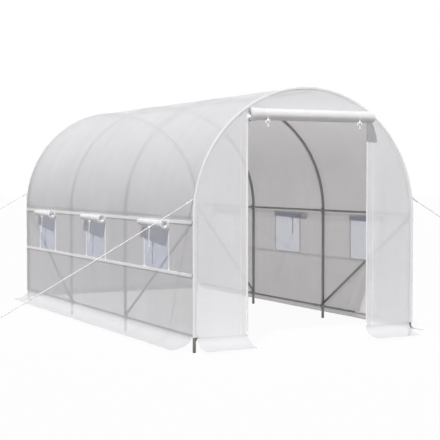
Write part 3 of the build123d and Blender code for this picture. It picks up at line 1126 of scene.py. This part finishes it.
class POLYTUNNEL_OT_trim(TunnelOperator, bpy.types.Operator):
    """White bands, window strips, door strips and arch bindings"""

    bl_idname = "polytunnel.trim"
    bl_label = "Bands and bindings"

    def execute(self, context):
        settings = context.scene.tunnel_trim
        webbing = webbing_finish("white webbing", settings.colour, offset=0.009)
        banding = webbing_finish("band webbing", settings.colour, offset=0.009, front=0.88, back=0.35)
        thick = settings.thickness
        for side, name, node in ((-1, "bands_left", "left_bands"), (1, "bands_right", "right_bands")):
            shape = Shape()
            out = RIGHT * side

            def wall_spot(y, z):
                run = z - HEM if side < 0 else SECTION - (z - HEM)
                return cover_spot(run, y, BAND_LIFT)

            stations = steps(HOOPS[0] - BAND_END, HOOPS[3] + BAND_END, 90)
            for z in (UPPER_BAND, LOWER_BAND):
                spots = [wall_spot(y, z) for y in stations]
                ribbon(shape, spots, out, UP, BAND, thick, settings.flare)
            for centre in BAYS:
                for edge in (-1, 1):
                    y = centre + edge * (WINDOW + settings.strip / 2)
                    spots = [wall_spot(y, z) for z in steps(SILL, HEAD, 16)]
                    ribbon(shape, spots, out, AHEAD * side, settings.strip, thick * 0.9)
            shape.piece(name, banding, (node,))

        edging = Shape()
        seam = 0.062
        seam_width = 0.003
        levels = steps(HEM, DOOR_TOP, 60)
        for side in (-1, 1):
            for x, width, rise in ((DOOR + settings.edging / 2, settings.edging, thick),
                                   (DOOR + seam, seam_width, thick * 0.25)):
                spots = [(side * x, -END_FILM - end_bulge(side * x, z, -1) - SEAM_LIFT, z) for z in levels]
                ribbon(edging, spots, -AHEAD, RIGHT * -side, width, rise)
        edging.piece("door_edging", webbing, ("door_strips",))

        for side, name, node in ((-1, "binding_front", "front_binding"),
                                 (1, "binding_back", "back_binding")):
            shape = Shape()
            inner = END_FILM - HOOPS[3] + SEAM_LIFT
            outer = inner + thick
            edge = settings.binding - outer
            profile = [(inner, edge), (outer - 0.0003, edge), (outer, edge - 0.0003), (outer, edge - 0.002)]
            for turn in steps(0, pi / 2, 8):
                profile.append((outer - 0.001 * (1 - cos(turn)), -outer + 0.001 * (1 - sin(turn))))
            profile += [(-axial, -radial) for radial, axial in reversed(profile[:4])]
            lengths = [0.0]
            for a, b in zip(profile, profile[1:]):
                lengths.append(lengths[-1] + sqrt((a[0] - b[0]) ** 2 + (a[1] - b[1]) ** 2))
            path = [(-RIGHT, z) for z in steps(HEM, SPRING, 24)[:-1]]
            path += [(Vector((-cos(turn), 0, sin(turn))), SPRING) for turn in steps(0, pi, 96)]
            path += [(RIGHT, z) for z in steps(SPRING, HEM, 24)[1:]]
            rows = []
            cloth = []
            run = 0.0
            for out, z in path:
                rows.append([out * (HOOP_R + radial) + UP * z + AHEAD * (side * (HOOPS[3] - axial))
                             for radial, axial in profile])
                run += (rows[-1][0] - rows[-2][0]).length if cloth else 0.0
                cloth.append([(run, length - lengths[-1] / 2) for length in lengths])
            shape.grid(rows, cloth)
            shape.piece(name, webbing, (node,))
        return {"FINISHED"}


class POLYTUNNEL_OT_windows(TunnelOperator, bpy.types.Operator):
    """Window nets, the rolled-up flaps over them, and their straps"""

    bl_idname = "polytunnel.windows"
    bl_label = "Windows"

    def execute(self, context):
        trim = context.scene.tunnel_trim
        net = net_finish()
        rolled = rolled_finish("rolled window film", trim.colour)
        webbing = webbing_finish("strap webbing", trim.colour, offset=0.004)
        belly = 0.0035
        unrest = 0.003
        inset = 0.0018
        straps = Shape()
        ends = Shape()
        for side, word in ((-1, "left"), (1, "right")):
            nets = Shape()
            rolls = Shape()
            for centre in BAYS:
                def net_spot(y, z):
                    a = max(1 - ((y - centre) / WINDOW) ** 2, 0.0)
                    b = max(1 - ((2 * z - SILL - HEAD) / (HEAD - SILL)) ** 2, 0.0)
                    ripple = noise.noise(Vector((y * 7.0, z * 6.0, side + 2.0)))
                    return side * (FILM_R - (a * b * (belly + unrest * ripple) + inset)), y, z

                reach = WINDOW + NET_MARGIN
                cloth = [[(y, z) for y in steps(centre - reach, centre + reach, 26)]
                         for z in steps(SILL - NET_MARGIN, HEAD + NET_MARGIN, 22)]
                nets.grid([[net_spot(y, z) for y, z in row] for row in cloth], cloth)
                found, places, run = roll_rows(
                    WINDOW_HOLLOW, ROLL_R, trim.window_turns, UPPER_BAND - ROLL_Z, ROLL_HALF, [0.0])

                def placed(across, up, along):
                    fat = 1 - trim.lean * along / ROLL_HALF
                    return (side * (ROLL_X + ROLL_R * (fat - 1) - across * fat), centre + along,
                            ROLL_Z + ROLL_R * (1 - fat) + up * fat)

                rolls.grid([[placed(*spot) for spot in row] for row in found], places)
                for way in (-1, 1):
                    roll_end(ends, placed, WINDOW_HOLLOW, ROLL_R * 1.03, ROLL_HALF, way)
                hub = Vector((side * ROLL_X, centre, ROLL_Z))
                out = RIGHT * side
                end = tie(straps, hub, AHEAD, out, ROLL_R * 0.95, trim, turn=-pi * 0.3, proud=0.009,
                          size=0.015, width=trim.strap, hang=None, swing=0.006)
                # Loose cord end below the toggle
                tube(straps, [end, end + Vector((0, 0.004, -0.03)), end + Vector((0, 0.002, -0.06))],
                     radius=0.0016, sides=6)
            made = nets.piece("window_nets_" + word, net, (word + "_window_nets",))
            made = rolls.piece("window_rolls_" + word, rolled, (word + "_window_rolls",))
        ends.piece("window_roll_ends", rolled)
        straps.piece("window_straps", webbing, ("window_ties",))
        return {"FINISHED"}


class POLYTUNNEL_OT_door(TunnelOperator, bpy.types.Operator):
    """Rolled-up door film over the doorway and its ties"""

    bl_idname = "polytunnel.door"
    bl_label = "Door roll"

    def execute(self, context):
        trim = context.scene.tunnel_trim
        rolled = rolled_finish("rolled door film", trim.roll_colour)
        webbing = webbing_finish("tie webbing", trim.colour, offset=0.004)
        apart = extent("door_ties", X) / 2 - FRAME_TOGGLE_HALF
        ties = [middle("door_ties", X) + end * apart for end in (-1, 1)]
        found, places, length = roll_rows(
            DOOR_HOLLOW, DOOR_ROLL_R - 0.0005, trim.door_turns, 0.03, DOOR_ROLL_HALF, ties)

        def placed(across, up, along):
            return (along, DOOR_ROLL_Y + across, DOOR_TOP + up)

        # The outer layers droop near the left end
        droop = 0.012
        near = 0.09
        roll = Shape()
        rows = []
        for row in found:
            slack = droop * smooth_step((near - DOOR_ROLL_HALF - row[0][2]) / near)
            rows.append([placed(a, u - slack * smooth_step((sqrt(a * a + u * u) / DOOR_ROLL_R - 0.86) / 0.1)
                                * smooth_step(-u / DOOR_ROLL_R), x) for a, u, x in row])
        roll.grid(rows, places)
        ends = Shape()
        for way in (-1, 1):
            roll_end(ends, placed, DOOR_HOLLOW, DOOR_ROLL_R * 0.98, DOOR_ROLL_HALF, way)
        ends.piece("door_roll_ends", rolled)
        made = roll.piece("door_film_roll", rolled, ("door_roll",))
        straps = Shape()
        for x in ties:
            hub = Vector((x, DOOR_ROLL_Y, DOOR_TOP))
            tie(straps, hub, RIGHT, -AHEAD, DOOR_ROLL_R * 0.95, trim, turn=-pi * 0.33, proud=0.014,
                size=0.022, width=trim.strap * 1.6, hang=0.042, swing=0.004)
        straps.piece("door_straps", webbing, ("door_ties",))
        return {"FINISHED"}


class POLYTUNNEL_OT_stays(TunnelOperator, bpy.types.Operator):
    """Twisted guy ropes, their sewn tongues and the pegs"""

    bl_idname = "polytunnel.stays"
    bl_label = "Guy ropes"

    def execute(self, context):
        settings = context.scene.tunnel_rope
        trim = context.scene.tunnel_trim
        rope = rope_finish(settings.colour)
        ropes = Shape()
        tongues = Shape()
        eyelets = Shape()
        strand = settings.diameter * 0.29
        sag_depth = 0.012
        bound = 0.026
        for side in (-1, 1):
            for y in (HOOPS[0], HOOPS[3]):
                top = Vector((side * (high("guy_tongues", X) - 0.006), y, ROPE_TOP - 0.004))
                foot = Vector((side * PEG_X, y, low("guy_ropes", Z) + settings.diameter * 0.6))
                along = (foot - top).normalized()
                normal = along.cross(AHEAD)
                length = (foot - top).length
                count = int(length / settings.lay * 8)
                for number in range(3):
                    path = []
                    for i in range(count + 1):
                        share = i / count
                        turn = 2 * pi * (share * length / settings.lay + number / 3)
                        sag = 4 * sag_depth * share * (1 - share)
                        offset = AHEAD * cos(turn) + normal * sin(turn)
                        path.append(top + along * (share * length) + offset * strand * 0.94 - UP * sag)
                    tube(ropes, path, strand, sides=5)
                base = Vector((side * (FILM_R - 0.002), y, ROPE_TOP + 0.012))
                spots = [base.lerp(top + along * 0.006, t) for t in steps(0, 1, 6)]
                ribbon(tongues, spots, normal, AHEAD, width=0.018, thickness=0.002)
                lifted = normal * 0.0015
                ring = [top + lifted + (AHEAD * cos(t) + along * sin(t)) * 0.0055
                        for t in steps(0, 2 * pi, 20)]
                tube(eyelets, ring, radius=0.0014, sides=8)
                whipping(ropes, top + along * 0.012, along, settings.diameter, bound)
                whipping(ropes, foot - along * 0.04, along, settings.diameter, bound)
                peg_loop = PEG_R + settings.diameter * 0.4
                hitch = Vector((side * PEG_X, y, foot.z))
                ring = [hitch + (AHEAD * cos(t) - RIGHT * (side * sin(t))) * peg_loop
                        for t in steps(0, 2 * pi, 24)]
                tube(ropes, ring, settings.diameter * 0.4, sides=8)
        ropes.piece("ropes", rope, ("guy_ropes",))
        tongues.piece("rope_tongues", webbing_finish("tongue webbing", trim.colour, offset=0.008),
                      ("guy_tongues",))
        eyelet = steel_finish("eyelet steel", (0.5, 0.5, 0.5), metallic=0.8)
        eyelets.piece("rope_eyelets", eyelet)
        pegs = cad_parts["guy_pegs"].data.materials
        pegs.clear()
        pegs.append(steel_finish("peg steel", (0.45, 0.45, 0.45), metallic=0.7))
        return {"FINISHED"}


def seen_directly(tree):
    """One for camera, glossy and transmission rays, which show the white room."""
    path = place(tree, "ShaderNodeLightPath").outputs
    return maths(tree, "MAXIMUM", path["Is Camera Ray"],
                 maths(tree, "MAXIMUM", path["Is Glossy Ray"], path["Is Transmission Ray"]))


class POLYTUNNEL_OT_stage(TunnelOperator, bpy.types.Operator):
    """Pale floor, soft light and the camera"""

    bl_idname = "polytunnel.stage"
    bl_label = "Stage"

    def execute(self, context):
        settings = context.scene.tunnel_stage
        scene = context.scene
        scene.view_settings.view_transform = "Standard"

        half = 60.0
        floor_white = 1.035
        white_share = 0.92
        mesh = bpy.data.meshes.new("floor")
        mesh.from_pydata([(-half, -half, 0), (half, -half, 0), (half, half, 0), (-half, half, 0)],
                         [], [(0, 1, 2, 3)])
        floor = bpy.data.objects.new("floor", mesh)
        scene.collection.objects.link(floor)
        finish = bpy.data.materials.new("floor")
        tree = bare_tree(finish)
        matt = place(tree, "ShaderNodeBsdfDiffuse", {"Color": (*settings.floor, 1.0)})
        white = place(tree, "ShaderNodeEmission", {"Color": (1, 1, 1, 1), "Strength": floor_white})
        share = maths(tree, "MULTIPLY", seen_directly(tree), white_share)
        mixed = place(tree, "ShaderNodeMixShader", {0: share, 1: matt.outputs[0], 2: white.outputs[0]})
        place(tree, "ShaderNodeOutputMaterial", {"Surface": mixed.outputs[0]})
        mesh.materials.append(finish)

        world = bpy.data.worlds.new("white room")
        tree = bare_tree(world)
        dim = place(tree, "ShaderNodeBackground", {"Color": (1, 1, 1, 1), "Strength": settings.ambient})
        bright = place(tree, "ShaderNodeBackground", {"Color": (1, 1, 1, 1), "Strength": 1.0})
        mixed = place(tree, "ShaderNodeMixShader",
                      {0: seen_directly(tree), 1: dim.outputs[0], 2: bright.outputs[0]})
        place(tree, "ShaderNodeOutputWorld", {"Surface": mixed.outputs[0]})
        scene.world = world

        for name, strength, spread, travel in (
                ("key light", settings.sun, settings.sun_spread, settings.sun_travel),
                ("fill light", settings.fill, settings.fill_spread, settings.fill_travel)):
            lamp = bpy.data.lights.new(name, "SUN")
            lamp.energy = strength
            lamp.angle = spread
            lit = bpy.data.objects.new(name, lamp)
            lit.rotation_euler = Vector(travel).to_track_quat("-Z", "Y").to_euler()
            scene.collection.objects.link(lit)

        camera = bpy.data.cameras.new("camera")
        camera.lens = settings.lens
        camera.sensor_width = 36.0
        camera.clip_end = 200.0
        seat = bpy.data.objects.new("camera", camera)
        seat.location = settings.camera
        seat.rotation_euler = (pi / 2 - settings.tilt, 0.0, -settings.turn)
        scene.collection.objects.link(seat)
        scene.camera = seat
        return {"FINISHED"}


OPERATORS = (
    POLYTUNNEL_OT_stage,
    POLYTUNNEL_OT_frame,
    POLYTUNNEL_OT_cover,
    POLYTUNNEL_OT_ends,
    POLYTUNNEL_OT_skirts,
    POLYTUNNEL_OT_trim,
    POLYTUNNEL_OT_windows,
    POLYTUNNEL_OT_door,
    POLYTUNNEL_OT_stays,
)


class POLYTUNNEL_PT_panel(bpy.types.Panel):
    """Lists the tunnel's pieces and settings"""

    bl_idname = "POLYTUNNEL_PT_panel"
    bl_label = "Polytunnel"
    bl_space_type = "VIEW_3D"
    bl_region_type = "UI"
    bl_category = "Polytunnel"

    def draw(self, context):
        for made in OPERATORS:
            self.layout.operator(made.bl_idname)
        for name, kind in SETTINGS.items():
            box = self.layout.box()
            for key in kind.__annotations__:
                box.prop(getattr(context.scene, name), key)


def register():
    """Makes the classes and settings known to Blender."""
    for made in (*SETTINGS.values(), *OPERATORS, POLYTUNNEL_PT_panel):
        bpy.utils.register_class(made)
    for name, kind in SETTINGS.items():
        setattr(bpy.types.Scene, name, PointerProperty(type=kind))


def unregister():
    """Takes the settings and classes away again."""
    for name in SETTINGS:
        delattr(bpy.types.Scene, name)
    for made in reversed((*SETTINGS.values(), *OPERATORS, POLYTUNNEL_PT_panel)):
        bpy.utils.unregister_class(made)


def main():
    """Builds every piece on the frame."""
    register()
    for made in OPERATORS:
        category, name = made.bl_idname.split(".")
        getattr(getattr(bpy.ops, category), name)()


if __name__ == "__main__":
    main()
